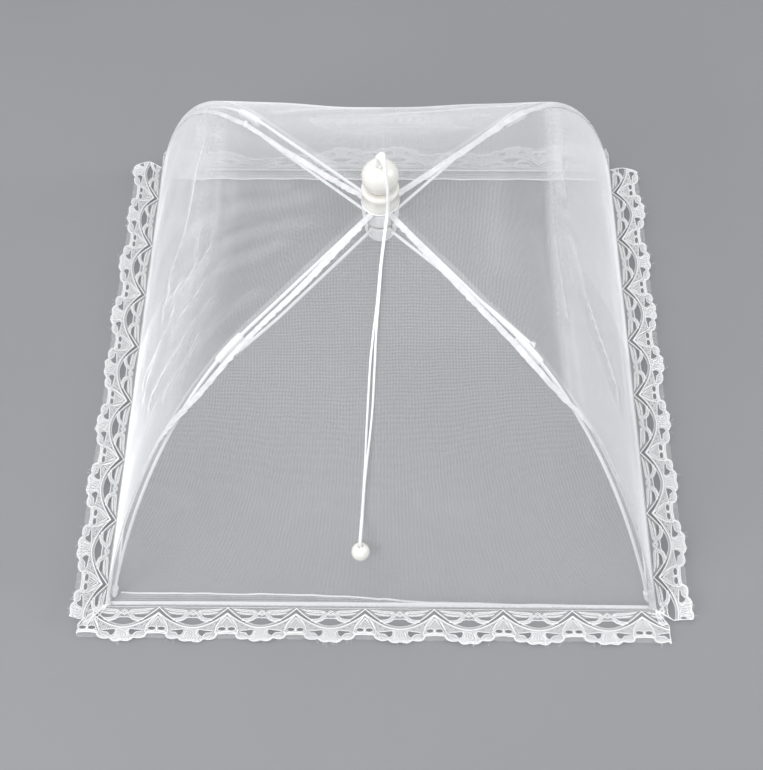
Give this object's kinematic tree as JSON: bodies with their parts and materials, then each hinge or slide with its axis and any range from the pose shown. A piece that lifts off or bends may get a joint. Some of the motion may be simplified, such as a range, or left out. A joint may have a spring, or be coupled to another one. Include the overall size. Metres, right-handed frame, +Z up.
{
  "type": "pop-up mesh food cover",
  "caption": "Square pop-up food cover: fine white mesh over a folding wire frame, with a lace edge, a round knob and a beaded pull cord.",
  "frame": {"origin": "middle of the hem square, on the table", "axes": "+Z up, the front panel with the pull cord faces -Y, +X to the right"},
  "size_m": [0.3988, 0.3988, 0.233],
  "materials": {
    "mesh_cloth": "fine open white mesh, see-through",
    "lace_cloth": "white machine lace",
    "seam_tape": "folded white mesh and binding tape",
    "cord_fibre": "white twisted cord",
    "white_plastic": "moulded off-white plastic, satin to glossy",
    "white_wire": "white coated spring wire",
    "pin_steel": "bare steel wire and rivets"
  },
  "bodies": {
    "runner_hub": {"runner": "white_plastic", "runner_ring": "pin_steel", "cord_knot": "cord_fibre", "lift_cord": "cord_fibre"},
    "crown_hub": {"crown": "white_plastic", "crown_ring": "pin_steel", "clamp_washer": "white_plastic", "knob_barrel": "white_plastic", "knob_ball": "white_plastic", "panel_front": "mesh_cloth", "hem_front": "seam_tape", "lace_front": "lace_cloth", "panel_right": "mesh_cloth", "hem_right": "seam_tape", "lace_right": "lace_cloth", "panel_back": "mesh_cloth", "hem_back": "seam_tape", "lace_back": "lace_cloth", "panel_left": "mesh_cloth", "hem_left": "seam_tape", "lace_left": "lace_cloth", "pull_cord_left": "cord_fibre", "pull_cord_right": "cord_fibre"},
    "rib_arm_front_right": {"rib_front_right": "white_wire", "tip_front_right": "white_plastic", "sleeve_front_right": "white_plastic", "seam_front_right": "seam_tape"},
    "stretcher_arm_front_right": {"stretcher_front_right": "white_wire", "rivet_front_right": "pin_steel"},
    "rib_arm_back_right": {"rib_back_right": "white_wire", "tip_back_right": "white_plastic", "sleeve_back_right": "white_plastic", "seam_back_right": "seam_tape"},
    "stretcher_arm_back_right": {"stretcher_back_right": "white_wire", "rivet_back_right": "pin_steel"},
    "rib_arm_back_left": {"rib_back_left": "white_wire", "tip_back_left": "white_plastic", "sleeve_back_left": "white_plastic", "seam_back_left": "seam_tape"},
    "stretcher_arm_back_left": {"stretcher_back_left": "white_wire", "rivet_back_left": "pin_steel"},
    "rib_arm_front_left": {"rib_front_left": "white_wire", "tip_front_left": "white_plastic", "sleeve_front_left": "white_plastic", "seam_front_left": "seam_tape"},
    "stretcher_arm_front_left": {"stretcher_front_left": "white_wire", "rivet_front_left": "pin_steel"},
    "pull_bead": {"bead": "white_plastic"}
  },
  "joints": [
    {"name": "fold_slide", "type": "slide", "parent": "runner_hub", "child": "crown_hub", "axis": [0, 0, 1], "range_m": [0, 0.1696], "deforming": ["lift_cord"]},
    {"name": "rib_hinge_front_right", "type": "hinge", "parent": "crown_hub", "child": "rib_arm_front_right", "pos_m": [0.00537, -0.00537, 0.1884], "axis": [0.7071, 0.7071, 0], "range_deg": [0, 50]},
    {"name": "stretcher_hinge_front_right", "type": "hinge", "parent": "runner_hub", "child": "stretcher_arm_front_right", "pos_m": [0.00481, -0.00481, 0.1726], "axis": [-0.7071, -0.7071, 0], "range_deg": [0, 63.2]},
    {"name": "rib_hinge_back_right", "type": "hinge", "parent": "crown_hub", "child": "rib_arm_back_right", "pos_m": [0.00537, 0.00537, 0.1884], "axis": [-0.7071, 0.7071, 0], "range_deg": [0, 50]},
    {"name": "stretcher_hinge_back_right", "type": "hinge", "parent": "runner_hub", "child": "stretcher_arm_back_right", "pos_m": [0.00481, 0.00481, 0.1726], "axis": [0.7071, -0.7071, 0], "range_deg": [0, 63.2]},
    {"name": "rib_hinge_back_left", "type": "hinge", "parent": "crown_hub", "child": "rib_arm_back_left", "pos_m": [-0.00537, 0.00537, 0.1884], "axis": [-0.7071, -0.7071, 0], "range_deg": [0, 50]},
    {"name": "stretcher_hinge_back_left", "type": "hinge", "parent": "runner_hub", "child": "stretcher_arm_back_left", "pos_m": [-0.00481, 0.00481, 0.1726], "axis": [0.7071, 0.7071, 0], "range_deg": [0, 63.2]},
    {"name": "rib_hinge_front_left", "type": "hinge", "parent": "crown_hub", "child": "rib_arm_front_left", "pos_m": [-0.00537, -0.00537, 0.1884], "axis": [0.7071, -0.7071, 0], "range_deg": [0, 50]},
    {"name": "stretcher_hinge_front_left", "type": "hinge", "parent": "runner_hub", "child": "stretcher_arm_front_left", "pos_m": [-0.00481, -0.00481, 0.1726], "axis": [-0.7071, 0.7071, 0], "range_deg": [0, 63.2]},
    {"name": "bead_draw", "type": "hinge", "parent": "crown_hub", "child": "pull_bead", "pos_m": [0, -0.0138, 0.0484], "axis": [-1, 0, 0], "range_deg": [0, 69.2], "deforming": ["pull_cord_left", "pull_cord_right"]}
  ],
  "couplings": [
    {"joint": "rib_hinge_front_right", "follows": "fold_slide", "rad_per_m": 5.1442},
    {"joint": "stretcher_hinge_front_right", "follows": "fold_slide", "rad_per_m": 6.4999},
    {"joint": "rib_hinge_back_right", "follows": "fold_slide", "rad_per_m": 5.1442},
    {"joint": "stretcher_hinge_back_right", "follows": "fold_slide", "rad_per_m": 6.4999},
    {"joint": "rib_hinge_back_left", "follows": "fold_slide", "rad_per_m": 5.1442},
    {"joint": "stretcher_hinge_back_left", "follows": "fold_slide", "rad_per_m": 6.4999},
    {"joint": "rib_hinge_front_left", "follows": "fold_slide", "rad_per_m": 5.1442},
    {"joint": "stretcher_hinge_front_left", "follows": "fold_slide", "rad_per_m": 6.4999},
    {"joint": "bead_draw", "follows": "fold_slide", "rad_per_m": 7.1166}
  ]
}
